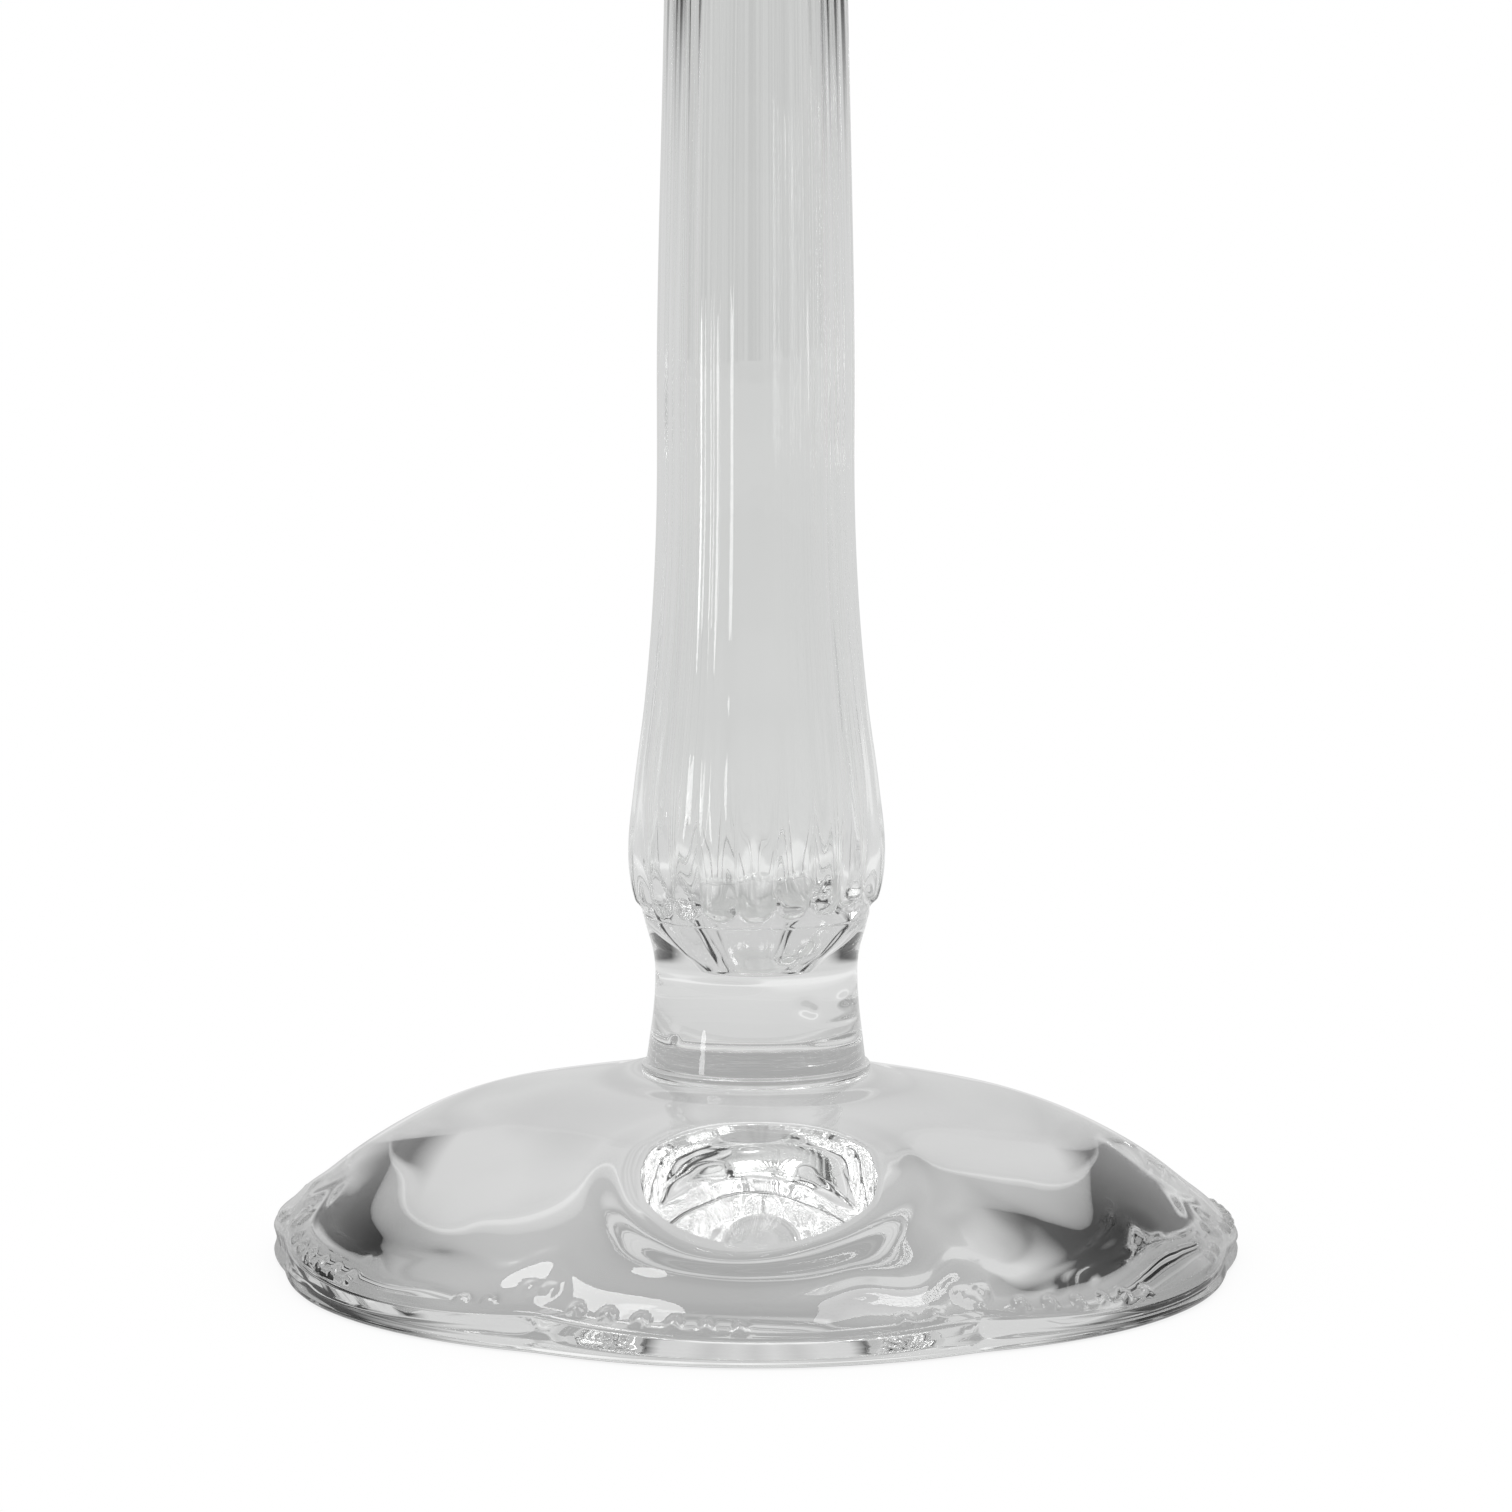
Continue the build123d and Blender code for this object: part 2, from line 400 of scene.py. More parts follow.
foot_profile = smooth_curve((
    (0.0, FOOT_TOP),
    (WAFER_RADIUS, FOOT_TOP),
    (20.0, FOOT_TOP - 1.4),
    (30.0, FOOT_TOP - 3.6),
    (38.0, FOOT_TOP - 5.6),
    (44.0, FOOT_TOP - 8.0),
    (50.5, FOOT_TOP - 11.7),
    (57.8, FOOT_TOP - 17.5),
    (62.0, FOOT_TOP - 20.8),
))


def rim_relief(radii, angles):
    """Height of the moulded ornament above the plain dome."""
    inset = lobed(FOOT_RADIUS, angles) - radii
    along = np.radians(from_notch(angles)) * FOOT_RADIUS
    crest = with_hills(RIDGE_INSET, RIDGE_SWINGS, along)
    height = with_hills(RIDGE_HEIGHT, RIDGE_SWELLS, along)
    ridge = height * hill(inset - crest, RIDGE_WIDTH)
    groove = -GROOVE_DEPTH * height * hill(inset - crest + GROOVE_OFFSET, GROOVE_WIDTH)
    fold = FOLD_HEIGHT * hill(inset - FOLD_INSET, 4) * hill(along - FOLD_PLACE, 10)
    spread = np.arctan2(along, SHELL_INSET - inset)
    reach = np.hypot(along, SHELL_INSET - inset) / SHELL_REACH
    fan = smoothstep(1, 0.8, reach) * smoothstep(0.1, 0.35, reach) * smoothstep(1.8, 1.3, np.abs(spread))
    shell = fan * SHELL_HEIGHT * (1 + np.cos(SHELL_FLUTES * spread) ** 2)
    relief = ridge + groove + fold + shell
    for turn, size in PEARLS:
        pearl = np.hypot(along - math.radians(turn) * FOOT_RADIUS, inset - PEARL_INSET)
        relief = relief + PEARL_HEIGHT * size * np.clip(1 - (pearl / size) ** 2, 0, 1) ** 1.5
    return relief * smoothstep(0, RELIEF_FADE, inset)


def underside(radius):
    """Height of the hollow underside: a shallow dome that runs out softly at the ring the foot stands on."""
    plain = UNDERSIDE_RISE * (1 - (radius / RING_INNER) ** 2)
    return (plain + np.sqrt(plain**2 + UNDERSIDE_RUN_OUT)) / 2


def foot_columns():
    """Angles of the foot's columns: close together along the pearls of each lobe, wider apart elsewhere."""
    lobe = np.concatenate((
        np.linspace(0, CHAIN_END, 66, endpoint=False),
        np.linspace(CHAIN_END, LOBE_PITCH, 44, endpoint=False),
    ))
    return np.radians(FIRST_NOTCH + np.concatenate([lobe + LOBE_PITCH * k for k in range(LOBES)]))


def add_underside(rings, rest):
    """The underside, from its centre out to the ring that the foot stands on, which it meets softly."""
    settled = underside(rest)
    round_until = 56  # radius from which the rings follow the lobes

    def add(radii):
        rings.add(radii, underside(radii) - settled * smoothstep(SETTLES_FROM, rest, radii))

    rings.add(0, underside(0))
    for radius in np.concatenate((np.linspace(2.5, 42, 17), np.linspace(44, round_until, 8))):
        add(radius)
    for share in (0.5, 1):
        add(round_until + share * (rest - round_until))


def add_edge(rings, outline):
    """The edge of the rim: a quarter round at the floor, a shallow waist, and a round that meets the dome."""
    edge = foot_profile(outline) - FOOT_SKEW * outline * np.cos(rings.angles)
    for angle in np.radians(np.linspace(-75, 0, 5)):
        rings.add(outline - RIM_LIP * (1 - np.cos(angle)), RIM_LIP * (1 + np.sin(angle)))
    for share in (0.3, 0.6):
        waist = outline - RIM_WAIST * math.sin(math.pi * share)
        rings.add(waist, RIM_LIP + share * (edge - EDGE_ROUND - RIM_LIP))
    for angle in np.radians(np.linspace(0, 60, 5)):
        rings.add(outline - EDGE_ROUND * (1 - np.cos(angle)), edge - EDGE_ROUND * (1 - np.sin(angle)))


def add_dome(rings, outline):
    """The dome, from its edge in to the wafer, with its rings close together where the relief is."""
    uneven = waves(3, 26)
    start = outline - 0.55 * EDGE_ROUND
    insets = np.concatenate((
        np.linspace(0, 2.1, 14),
        np.linspace(2.35, 8, 23),
        np.linspace(8.4, 17, 20),
        np.linspace(17.8, 43, 30),
    ))
    for inset, share in zip(insets, insets / insets[-1]):
        radii = start - inset * (1 - share) - share * (start - WAFER_RADIUS)
        x, y = radii * np.cos(rings.angles), radii * np.sin(rings.angles)
        heights = foot_profile(radii) + rim_relief(radii, rings.angles)
        by_wafer = smoothstep(1, 0.8, share)
        sway = DOME_SWAY * uneven(x, y, heights)
        shoulder = FULL_SHOULDER * smoothstep(10, 30, -x) * smoothstep(56, 42, radii)
        free = smoothstep(0, 4, inset) * by_wafer
        rings.add(radii, heights - FOOT_SKEW * x * by_wafer + (sway + shoulder) * free)


def make_foot():
    rings = Rings(foot_columns())
    outline = lobed(FOOT_RADIUS, rings.angles)
    add_underside(rings, outline - RIM_LIP)
    add_edge(rings, outline)
    add_dome(rings, outline)
    rings.add(NECK_FOOT_RADIUS, FOOT_TOP, joint=True)
    rings.add(NECK_FOOT_RADIUS * 0.5, FOOT_TOP, joint=True)
    rings.add(0, FOOT_TOP)
    rings.turn("glass_foot", "foot", "pressed_glass")


# ---- Wafer and solid neck --------------------------------------------------------------------------------

FLUSH = 0.02  # a height this close to a face counts as on it
NECK_WAIST_RADIUS = 12.6
NECK_RIM_RADIUS = 14.2
CONE_TOP_RADIUS = 13.0
CONE_BOTTOM_RADIUS = 5.4


def make_wafer():
    half = (WAFER_TOP - FOOT_TOP) / 2
    core = WAFER_RADIUS - half
    profile = np.vstack((
        polyline([(0, FOOT_TOP), (core, FOOT_TOP)], 3),
        arc((core, FOOT_TOP + half), half, -80, 80, 9),
        polyline([(core, WAFER_TOP), (NECK_FOOT_RADIUS, WAFER_TOP), (0, WAFER_TOP)], 3),
    ))

    def joint(radius, height):
        return radius < NECK_FOOT_RADIUS and (height < FOOT_TOP + FLUSH or height > WAFER_TOP - FLUSH)

    turned_plain("glass_wafer", "foot_wafer", "clear_glass", profile, joint)


neck_profile = smooth_curve((
    (WAFER_TOP, NECK_FOOT_RADIUS),
    (WAFER_TOP + 2.7, 13.25),
    (WAFER_TOP + 7.2, 12.75),
    (WAFER_TOP + 11.2, NECK_WAIST_RADIUS),
    (RIB_START - 4.1, 12.95),
    (RIB_START - 1.6, 13.65),
    (RIB_START, NECK_RIM_RADIUS - 0.15),
))

# Tool marks and seeds on the neck, as (angle in degrees, height above the wafer, width across, width up,
# depth). A negative depth stands out.
NECK_MARKS = (
    (-62, 8.3, 1.0, 0.8, -0.30),
    (-57, 7.7, 0.9, 0.7, -0.25),
    (-31, 8.6, 1.5, 0.7, 0.25),
    (-28, 6.1, 3.2, 0.35, -0.12),
    (-34, 3.9, 3.6, 0.30, -0.12),
    (-140, 4.7, 0.8, 0.7, 0.15),
    (95, 8.7, 1.1, 0.8, 0.25),
)
NECK_UNEVENNESS = 0.004  # of its radius
NECK_WAVE = 0.05  # the same in millimetres, near enough, which a mark's depth is measured in


def make_neck():
    rise = np.linspace(WAFER_TOP, RIB_START, 110)
    profile = np.vstack((
        polyline([(0, WAFER_TOP), (NECK_FOOT_RADIUS - 0.4, WAFER_TOP)], 3),
        np.stack((neck_profile(rise), rise), axis=1),
        polyline([(NECK_RIM_RADIUS - 0.3, RIB_START), (CONE_TOP_RADIUS, RIB_START)], 1),
        polyline([(CONE_TOP_RADIUS, RIB_START), (CONE_BOTTOM_RADIUS, STEM_SEAT)], 1)[1:],
        polyline([(CONE_BOTTOM_RADIUS - 1, STEM_SEAT), (0, STEM_SEAT)], 2),
    ))
    uneven = waves(11, 18)

    def joint(radius, height):
        return radius < float(neck_profile(height)) - 0.1

    def wave(x, y, z):
        marks = 0
        for centre, height, across, up, depth in NECK_MARKS:
            off = np.radians(turn_from(np.arctan2(y, x), centre)) * NECK_WAIST_RADIUS
            marks = marks + depth / NECK_WAVE * hill(off, across) * hill(z - WAFER_TOP - height, up)
        return uneven(x, y, z) + marks

    turned_plain(
        "glass_neck", "lower_neck", "clear_glass", profile, joint,
        sides=420, wave=wave, amount=NECK_UNEVENNESS,
    )


# ---- Blown stem ------------------------------------------------------------------------------------------

WALL = 2.2
STEM_BORE = 5.6  # radius of the air space where the collar closes it
COLLAR_FOOT = 9.3  # radius
CAVITY_FLOOR = STEM_SEAT + 1.4
CAVITY_FLOOR_RADIUS = 3.9
CAVITY_ROUND = 0.4  # height of the round between the cone of the air space and its floor
SHOULDER = RIB_START + 4.4  # where the air space starts to narrow to its cone

# The stem above its bulb, where its wall is even, as (height above the start of the ribs, outer radius).
EVEN_STEM = ((26.4, 13.8), (39.4, 12.7), (54.4, 12.15), (69.4, 12.1), (88.4, 11.8), (111.4, 11.25))

stem_profile = smooth_curve((
    (RIB_START, 14.5),
    (RIB_START + 3.4, 15.5),
    (RIB_START + 7.9, BULB_RADIUS),
    (RIB_START + 16.4, 15.1),
    *((RIB_START + rise, radius) for rise, radius in EVEN_STEM),
    (STEM_TOP - 23, 10.75),
    (STEM_TOP - 10, 10.8),
    (STEM_TOP, 9.9),
))
cavity_profile = smooth_curve((
    (CAVITY_FLOOR + CAVITY_ROUND, CAVITY_FLOOR_RADIUS + 0.5),
    (CAVITY_FLOOR + 2.5, 5.7),
    (CAVITY_FLOOR + 4.8, 7.6),
    (CAVITY_FLOOR + 6.8, 9.9),
    (SHOULDER - 2.4, 11.6),
    (SHOULDER, 12.7),
    (SHOULDER + 3.5, 13.3),
    (SHOULDER + 12, 12.7),
    *((RIB_START + rise, radius - WALL) for rise, radius in EVEN_STEM),
    (STEM_TOP - 23, 8.3),
    (STEM_TOP - 10, 7.6),
    (STEM_TOP, STEM_BORE),
))
groove_depth = smooth_curve((
    (RIB_START, 1.0),
    (RIB_START + 4.9, 1.25),
    (RIB_START + 8.4, 0.95),
    (RIB_START + 12.4, 0.5),
    (RIB_START + 18.4, 0.28),
    (RIB_START + 42.4, 0.22),
    (STEM_TOP - 47, 0.22),
    (STEM_TOP - 17, 0.25),
    (STEM_TOP, 0.4),
))

COLUMNS_PER_RIB = 16
TIP_ZONE = 6  # height over which the rings of the ribs' tips are close together
TIP_START = 0.3  # above the neck, on a rib's crest
TIP_CLIMB = 0.5  # from the crest to the groove
TIP_ROUND = 1.5
TIP_UNEVENNESS = 0.18
LATE_TIPS_AT = 322  # degrees; the side where the ribs start higher up
LATE_BY = 1.6
STEM_SWAY = 0.07
SWAY_ROOM = 0.08  # how far the ribs stand inside their profile, to leave room for the sway

SHOULDER_CLIMB = 0.5  # how much higher the air space's shoulder is behind a groove than behind a crest
SHOULDER_UNEVENNESS = 0.45
CONE_FACETS = 0.26
CAVITY_SWAY = 0.05
DRAWN_CORDS = 0.03


def stem_columns():
    """Angles of the stem's columns, and each one's place across its rib: 0 on the crest, 1 in the groove."""
    angles = even_columns(RIBS * COLUMNS_PER_RIB)
    return angles, 2 * ((angles * RIBS / (2 * math.pi) + 0.5) % 1) - 1


def add_stem_cone(rings):
    """The underside of the stem, which fills the cone in the neck."""
    rings.add(0, STEM_SEAT, joint=True)
    rings.add(CONE_BOTTOM_RADIUS * 0.5, STEM_SEAT, joint=True)
    for share in np.linspace(0, 1, 7):
        radius = CONE_BOTTOM_RADIUS + share * (CONE_TOP_RADIUS - CONE_BOTTOM_RADIUS)
        rings.add(radius, STEM_SEAT + share * (RIB_START - STEM_SEAT), joint=True)
    rings.add(NECK_RIM_RADIUS - 0.3, RIB_START)


def add_ribs(rings, across, facets):
    """The outside of the stem. The ribs start in rounded tips, which climb towards the grooves."""
    uneven = waves(21, 40)
    late = hill(turn_from(rings.angles, LATE_TIPS_AT), 30)
    tip = TIP_START + TIP_CLIMB * across**2 + LATE_BY * late + TIP_UNEVENNESS * facets
    above = TIP_ZONE + np.linspace(0, 1, 125)[1:] ** 1.15 * (STEM_TOP - RIB_START - TIP_ZONE)
    for rise in np.concatenate((np.linspace(0, TIP_ZONE, 26), above)):
        height = RIB_START + rise
        below_tip = NECK_RIM_RADIUS - 0.2 + 0.02 * rise
        ribbed = stem_profile(height) - groove_depth(height) * across**2 - SWAY_ROOM
        radius = below_tip + (ribbed - below_tip) * smoothstep(0, 1, (rise - tip) / TIP_ROUND)
        sway = STEM_SWAY * uneven(radius * np.cos(rings.angles), radius * np.sin(rings.angles), height)
        free = smoothstep(0, 4, rise) * smoothstep(STEM_TOP, STEM_TOP - 6, height)
        rings.add(radius + sway * free, height)


def add_air_space(rings, across, facets):
    """The air space, from the top of the stem down to its cone and its flat floor.

    The blown wall carries fine drawn cords, the shoulder wanders up and down, and the cone is faceted.
    """
    drawn = sum(np.cos(count * rings.angles + phase) for count, phase in ((17, 0.4), (29, 1.9), (41, 5.1)))
    fine = waves(22, 16)
    top_part = STEM_TOP - np.linspace(0, 1, 115)[1:] ** 0.9 * (STEM_TOP - SHOULDER)
    for height in np.concatenate((top_part, np.linspace(SHOULDER, CAVITY_FLOOR + CAVITY_ROUND, 34)[1:])):
        low = smoothstep(SHOULDER, CAVITY_FLOOR, height)
        wander = SHOULDER_CLIMB * (0.4 - across**2) + SHOULDER_UNEVENNESS * facets
        wandered = cavity_profile(height + wander * hill(height - SHOULDER, 6))
        radius = np.minimum(wandered, cavity_profile(height) + 0.5)
        radius = radius + CONE_FACETS * facets * smoothstep(0, 0.5, low) * smoothstep(1, 0.8, low)
        x, y = radius * np.cos(rings.angles), radius * np.sin(rings.angles)
        sway = CAVITY_SWAY * fine(x, y, height * (0.3 + 0.7 * low))
        cords = DRAWN_CORDS * drawn * (1 - smoothstep(0, 0.3, low))
        rings.add(radius + (sway + cords) * smoothstep(STEM_TOP, STEM_TOP - 8, height), height)
    rings.add(CAVITY_FLOOR_RADIUS, CAVITY_FLOOR + 0.12)
    rings.add(CAVITY_FLOOR_RADIUS - 0.8, CAVITY_FLOOR)
    rings.add(1.6, CAVITY_FLOOR + 0.05)
    rings.add(0, CAVITY_FLOOR + 0.08)


def make_stem():
    angles, across = stem_columns()
    facets = np.cos(3 * angles + 0.9) + np.cos(5 * angles + 2.2) + 0.7 * np.cos(8 * angles + 4.0)
    rings = Rings(angles)
    add_stem_cone(rings)
    add_ribs(rings, across, facets)
    rings.add(COLLAR_FOOT, STEM_TOP, joint=True)
    rings.add(STEM_BORE + 1.8, STEM_TOP, joint=True)
    rings.add(STEM_BORE, STEM_TOP)
    add_air_space(rings, across, facets)
    rings.turn("glass_stem", "stem", "blown_glass")


# ---- Collar, drip pan and candle nozzle ------------------------------------------------------------------

COLLAR_WAIST = 7.6  # radius, as the next two are
PAN_SEAT = 10.5
NOZZLE_FOOT = 11.5
COLLAR_UNEVENNESS = 0.003  # of its radius


def make_collar():
    rise = np.linspace(STEM_TOP, COLLAR_TOP, 40)
    waist = smooth_curve((
        (STEM_TOP, COLLAR_FOOT),
        (STEM_TOP + 1.6, 8.3),
        (STEM_TOP + 3.8, COLLAR_WAIST),
        (STEM_TOP + 5.8, 8.3),
        (COLLAR_TOP, PAN_SEAT),
    ))
    profile = np.vstack((
        polyline([(0, STEM_TOP), (STEM_BORE, STEM_TOP), (COLLAR_FOOT - 0.3, STEM_TOP)], 2),
        np.stack((waist(rise), rise), axis=1),
        polyline([(PAN_SEAT - 0.5, COLLAR_TOP), (0, COLLAR_TOP)], 3),
    ))

    def joint(radius, height):
        on_stem = height < STEM_TOP + FLUSH and radius > STEM_BORE
        return on_stem or height > COLLAR_TOP - FLUSH

    turned_plain(
        "glass_collar", "upper_neck", "clear_glass", profile, joint,
        wave=waves(31, 14), amount=COLLAR_UNEVENNESS,
    )


PAN_LIP = 0.9
PAN_SWAY = 0.05
# The ridge inside the pan's rim and the groove inside the ridge, as (inset, how much further in at a notch,
# width, height).
PAN_RIDGE = (3.2, 2.6, 0.8, 0.5)
PAN_GROOVE = (5.0, 3.0, 1.0, -0.25)
pan_under = smooth_curve((
    (0, COLLAR_TOP),
    (PAN_SEAT, COLLAR_TOP),
    (24, COLLAR_TOP + 0.9),
    (34, COLLAR_TOP + 2.3),
    (39, COLLAR_TOP + 2.7),
))
pan_over = smooth_curve((
    (0, NOZZLE_BASE),
    (NOZZLE_FOOT, NOZZLE_BASE),
    (15, NOZZLE_BASE),
    (25, NOZZLE_BASE + 0.3),
    (35, NOZZLE_BASE + 1.3),
    (39, NOZZLE_BASE + 2.1),
))


def pan_relief(inset, angles):
    """Height of the pan's ridge and groove, which swing in at each notch."""
    swing = hill(np.radians(from_notch(angles)) * PAN_RADIUS, 5)
    return sum(
        height * hill(inset - (place + further * swing), width)
        for place, further, width, height in (PAN_RIDGE, PAN_GROOVE)
    )


def make_pan():
    rings = Rings(even_columns(480))
    outline = lobed(PAN_RADIUS, rings.angles)
    edge = outline - PAN_LIP
    uneven = waves(41, 17)
    rings.add(0, COLLAR_TOP, joint=True)
    rings.add(PAN_SEAT * 0.5, COLLAR_TOP, joint=True)
    rings.add(PAN_SEAT, COLLAR_TOP)
    for share in np.linspace(0, 1, 30)[1:]:
        radius = PAN_SEAT + share * (edge - PAN_SEAT)
        rings.add(radius, pan_under(radius))
    low, high = pan_under(outline), pan_over(outline)
    middle, half = (low + high) / 2, (high - low) / 2
    for angle in np.radians(np.linspace(-80, 80, 13)):
        rings.add(outline - PAN_LIP * (1 - np.cos(angle)), middle + half * np.sin(angle))
    for share in np.linspace(0, 1, 60)[1:]:
        radius = edge - share * (edge - NOZZLE_FOOT)
        inset = outline - radius
        height = pan_over(radius) + pan_relief(inset, rings.angles) * smoothstep(0.8, 1.6, inset)
        sway = PAN_SWAY * uneven(radius * np.cos(rings.angles), radius * np.sin(rings.angles), height)
        sway = sway * smoothstep(0, 0.3, share) * smoothstep(1, 0.8, share)
        rings.add(radius, np.minimum(height + sway, PAN_TOP), joint=share == 1)
    rings.add(NOZZLE_FOOT * 0.5, NOZZLE_BASE, joint=True)
    rings.add(0, NOZZLE_BASE)
    rings.turn("glass_drip_pan", "drip_pan", "pressed_glass")


LIP_DROP = 1.3  # from the nozzle's top to where its outer edge turns in
LIP_ROUND = 1.1
BORE_EDGE = 0.5  # radius of the round at the bore's mouth
BORE_FILLET = 1.5  # radius of the round at its floor


def make_nozzle():
    bore_floor = NOZZLE_TOP - BORE_DEPTH
    widest = LIP_RADIUS - 0.05
    outside = smooth_curve((
        (NOZZLE_BASE, NOZZLE_FOOT),
        (NOZZLE_BASE + 2.5, 12.7),
        (NOZZLE_BASE + 6, 13.4),
        (NOZZLE_BASE + 14, 13.45),
        (NOZZLE_TOP - 7, 13.85),
        (NOZZLE_TOP - 3.5, 14.9),
        (NOZZLE_TOP - LIP_DROP, widest),
    ))
    rise = np.linspace(NOZZLE_BASE, NOZZLE_TOP - LIP_DROP, 70)
    profile = np.vstack((
        polyline([(0, NOZZLE_BASE), (NOZZLE_FOOT - 0.5, NOZZLE_BASE)], 3),
        np.stack((outside(rise), rise), axis=1),
        arc((widest - LIP_ROUND, NOZZLE_TOP - LIP_ROUND), LIP_ROUND, 0, 90, 8),
        polyline([(BORE_RADIUS + 1.2, NOZZLE_TOP), (BORE_RADIUS + BORE_EDGE, NOZZLE_TOP)], 1),
        arc((BORE_RADIUS + BORE_EDGE, NOZZLE_TOP - BORE_EDGE), BORE_EDGE, 90, 180, 6)[1:],
        polyline([(BORE_RADIUS, NOZZLE_TOP - 1.5), (BORE_RADIUS, bore_floor + BORE_FILLET)], 1),
        arc((BORE_RADIUS - BORE_FILLET, bore_floor + BORE_FILLET), BORE_FILLET, 0, -90, 8)[1:],
        polyline([(BORE_RADIUS - 3, bore_floor), (0, bore_floor)], 2),
    ))

    def joint(radius, height):
        return height < NOZZLE_BASE + FLUSH

    turned_plain("glass_nozzle", "candle_socket", "clear_glass", profile, joint)


make_foot()
make_wafer()
make_neck()
make_stem()
make_collar()
make_pan()
make_nozzle()

# ---- Studio ----------------------------------------------------------------------------------------------


def ramp(nodes, links, source, stops):
    """The colour that a ramp of greys through (position, brightness) stops gives for a source."""
    node = nodes.new("ShaderNodeValToRGB")
    points = node.color_ramp.elements
    while len(points) < len(stops):
        points.new(0.5)
    for point, (position, grey) in zip(points, stops):
        point.position = position
        point.color = (grey, grey, grey, 1)
    links.new(source, node.inputs["Fac"])
    return node.outputs["Color"]


def math_node(nodes, links, operation, *sources):
    """The value of a calculation on numbers and other nodes' outputs."""
    node = nodes.new("ShaderNodeMath")
    node.operation = operation
    for socket, source in zip(node.inputs, sources):
        if isinstance(source, (int, float)):
            socket.default_value = source
        else:
            links.new(source, socket)
    return node.outputs["Value"]


def by_viewer(nodes, links, to_glass, to_camera, output):
    """Shows one shader to the camera, and another to everything that reflects or bends light."""
    paths = nodes.new("ShaderNodeLightPath")
    mix = nodes.new("ShaderNodeMixShader")
    links.new(paths.outputs["Is Camera Ray"], mix.inputs["Fac"])
    links.new(to_glass, mix.inputs[1])
    links.new(to_camera, mix.inputs[2])
    links.new(mix.outputs["Shader"], nodes[output].inputs["Surface"])


FLOOR_HALF = 6.0  # half of its width
FLOOR_DROP = 0.0001  # how far the floor lies under the foot, so that their faces don't meet
FLOOR_REACH = 0.6  # from the foot to where the floor's painted shading no longer changes
# The floor's glow as the glass sees it, from the middle of the foot out to that reach: a painted shadow
# around the foot's ring, and a painted lighter band further out.
FLOOR_PAINTED_SHADING = (
    (0.0, 0.64), (0.05, 0.6), (0.08, 0.47), (0.095, 0.4), (0.108, 0.4), (0.15, 0.68),
    (0.28, 0.72), (0.35, 0.87), (0.46, 0.87), (0.54, 0.72), (1.0, 0.68),
)
CONTACT_REACH = 0.02  # from the foot to where the camera sees no painted contact shade
CONTACT_PAINTED_SHADE = ((0.0, 0.84), (0.6, 0.98), (1.0, 1.0))  # painted contact shade that the camera sees, from closed in to open


def make_floor():
    """A white sweep that glows. Glass sees it with a painted soft shadow under the foot and a painted lighter
    band further out, and the camera sees a painted contact shade close to the foot.
    """
    material = bpy.data.materials.new("studio_floor")
    material.use_nodes = True
    nodes, links = material.node_tree.nodes, material.node_tree.links
    nodes.remove(nodes["Principled BSDF"])
    place = nodes.new("ShaderNodeTexCoord")
    away = nodes.new("ShaderNodeVectorMath")
    away.operation = "LENGTH"
    links.new(place.outputs["Object"], away.inputs[0])
    share = math_node(nodes, links, "DIVIDE", away.outputs["Value"], FLOOR_REACH)
    # The glow that the glass sees carries a painted shadow around the foot, set by place on the floor alone.
    to_glass = nodes.new("ShaderNodeEmission")
    links.new(ramp(nodes, links, share, FLOOR_PAINTED_SHADING), to_glass.inputs["Color"])
    # Ambient occlusion dims the white that the camera sees near the foot: a painted contact shade.
    near = nodes.new("ShaderNodeAmbientOcclusion")
    near.inputs["Distance"].default_value = CONTACT_REACH
    near.samples = 8
    to_camera = nodes.new("ShaderNodeEmission")
    links.new(ramp(nodes, links, near.outputs["AO"], CONTACT_PAINTED_SHADE), to_camera.inputs["Color"])
    by_viewer(nodes, links, to_glass.outputs["Emission"], to_camera.outputs["Emission"], "Material Output")
    mesh = bpy.data.meshes.new("studio_floor")
    corners = [(FLOOR_HALF * x, FLOOR_HALF * y, -FLOOR_DROP) for x, y in ((-1, -1), (1, -1), (1, 1), (-1, 1))]
    mesh.from_pydata(corners, [], [(0, 1, 2, 3)])
    mesh.materials.append(material)
    floor = bpy.data.objects.new("studio_floor", mesh)
    bpy.context.collection.objects.link(floor)


TENT_BRIGHTNESS = 2
FLAG_SHARE = 0.98  # of the tent's light that a flag takes away
# Tones around the tent. The first position looks towards the camera's end and the last one away from it.
TENT_AROUND = ((0.0, 0.5), (0.3, 0.5), (0.5, 0.62), (0.86, 0.68), (1.0, 0.7))
FLAG_AROUND = ((0.0, 0.0), (0.4, 0.0), (0.48, 1.0), (0.86, 1.0), (0.93, 0.0), (1.0, 0.0))
# Tones from the left of the tent to its right.
TENT_FOLDS = (
    (0.0, 1.0), (0.35, 1.0), (0.41, 0.84), (0.46, 1.0), (0.5, 0.86), (0.54, 0.98), (0.6, 0.84), (0.66, 1.0),
)
# Tones from the horizon up to straight above.
TENT_LIFT = ((0.0, 0.5), (0.62, 0.5), (0.74, 0.74), (0.86, 0.74), (0.95, 0.34), (1.0, 0.32))
FLAG_LIFT = ((0.0, 0.0), (0.03, 0.08), (0.07, 0.5), (0.11, 1.0), (0.55, 1.0), (0.7, 0.0))


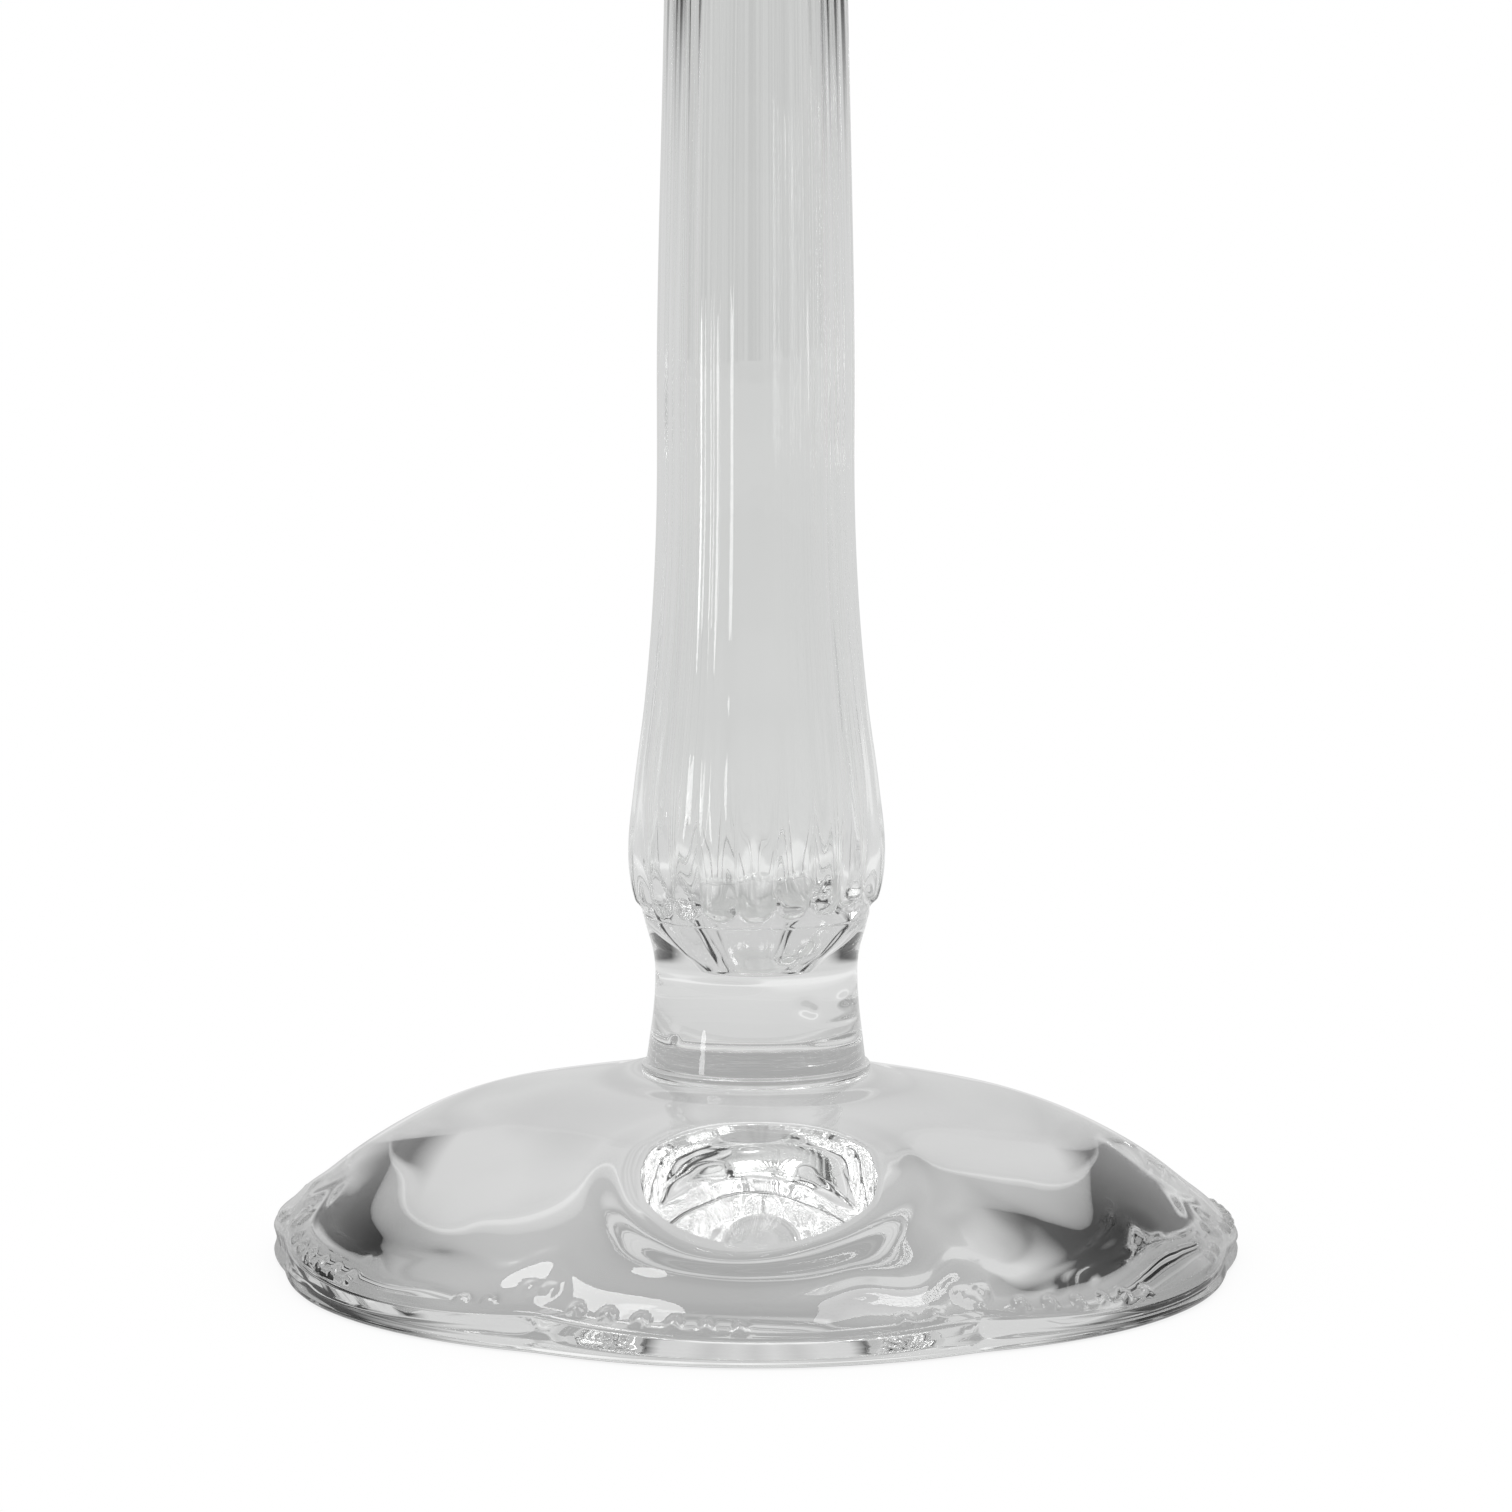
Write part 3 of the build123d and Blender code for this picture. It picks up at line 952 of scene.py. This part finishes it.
def make_world():
    """A light tent: pale behind, darker at the camera's end, with a soft dark flag on each side.

    Its back hangs in soft folds, which the stem shows as faint upright stripes. The camera sees plain white.
    """
    world = bpy.data.worlds.new("studio")
    bpy.context.scene.world = world
    world.use_nodes = True
    nodes, links = world.node_tree.nodes, world.node_tree.links
    place = nodes.new("ShaderNodeTexCoord")
    heading = nodes.new("ShaderNodeSeparateXYZ")
    links.new(place.outputs["Generated"], heading.inputs["Vector"])
    x, y, z = (heading.outputs[axis] for axis in "XYZ")

    def work_out(operation, *sources):
        return math_node(nodes, links, operation, *sources)

    def shade(source, stops):
        return ramp(nodes, links, source, stops)

    level_length = work_out("SQRT", work_out("ADD", work_out("MULTIPLY", x, x), work_out("MULTIPLY", y, y)))
    backwards = work_out("MULTIPLY_ADD", work_out("DIVIDE", y, level_length), 0.5, 0.5)
    sideways = work_out("MULTIPLY_ADD", work_out("DIVIDE", x, level_length), 0.5, 0.5)
    flagged = work_out("MULTIPLY", shade(backwards, FLAG_AROUND), shade(z, FLAG_LIFT))
    lit = work_out("MULTIPLY_ADD", flagged, -FLAG_SHARE * TENT_BRIGHTNESS, TENT_BRIGHTNESS)
    lit = work_out("MULTIPLY", lit, shade(z, TENT_LIFT))
    lit = work_out("MULTIPLY", lit, shade(sideways, TENT_FOLDS))
    to_glass = nodes.new("ShaderNodeBackground")
    links.new(shade(backwards, TENT_AROUND), to_glass.inputs["Color"])
    links.new(lit, to_glass.inputs["Strength"])
    to_camera = nodes["Background"]
    to_camera.inputs["Color"].default_value = (1, 1, 1, 1)
    by_viewer(nodes, links, to_glass.outputs["Background"], to_camera.outputs["Background"], "World Output")


# Lamps, as (name, place, width and height, power in watts). Each is turned towards the foot.
LAMPS = (
    ("softbox_left", (-0.55, -0.25, 1.3), (0.55, 0.7), 6),
    ("softbox_right", (0.5, -0.2, 1.4), (0.5, 0.5), 2.2),
    ("strip_light", (-0.78, -0.5, 0.095), (0.11, 0.08), 0.12),
)
LAMP_TARGET = Vector((0, 0, 0.02))


def make_lamp(name, place, size, power):
    """A soft oval lamp."""
    light = bpy.data.lights.new(name, "AREA")
    light.shape = "ELLIPSE"
    light.size, light.size_y = size
    light.energy = power
    holder = bpy.data.objects.new(name, light)
    holder.location = place
    holder.rotation_euler = (LAMP_TARGET - Vector(place)).to_track_quat("-Z", "Y").to_euler()
    bpy.context.collection.objects.link(holder)


CAMERA_DISTANCE = 0.550
CAMERA_HEIGHT = 0.1219
CAMERA_PITCH = 6.2  # degrees below level
FIELD_OF_VIEW = 19.1  # degrees


def make_camera():
    camera = bpy.data.cameras.new("camera")
    camera.sensor_width = 36
    camera.angle = math.radians(FIELD_OF_VIEW)
    camera.clip_start = 0.01
    holder = bpy.data.objects.new("camera", camera)
    holder.location = (0, -CAMERA_DISTANCE, CAMERA_HEIGHT)
    holder.rotation_euler = (math.radians(90 - CAMERA_PITCH), 0, 0)
    bpy.context.collection.objects.link(holder)
    bpy.context.scene.camera = holder


GLASS_BOUNCES = 96  # light that thick glass guides along inside itself is turned many times before it leaves
JOINTS_CROSSED = 32  # how many fused joints light may cross

make_floor()
make_world()
for lamp in LAMPS:
    make_lamp(*lamp)
make_camera()
scene = bpy.context.scene
scene.view_settings.view_transform = "Standard"
scene.cycles.max_bounces = GLASS_BOUNCES
scene.cycles.transmission_bounces = GLASS_BOUNCES
scene.cycles.glossy_bounces = GLASS_BOUNCES
scene.cycles.transparent_max_bounces = JOINTS_CROSSED
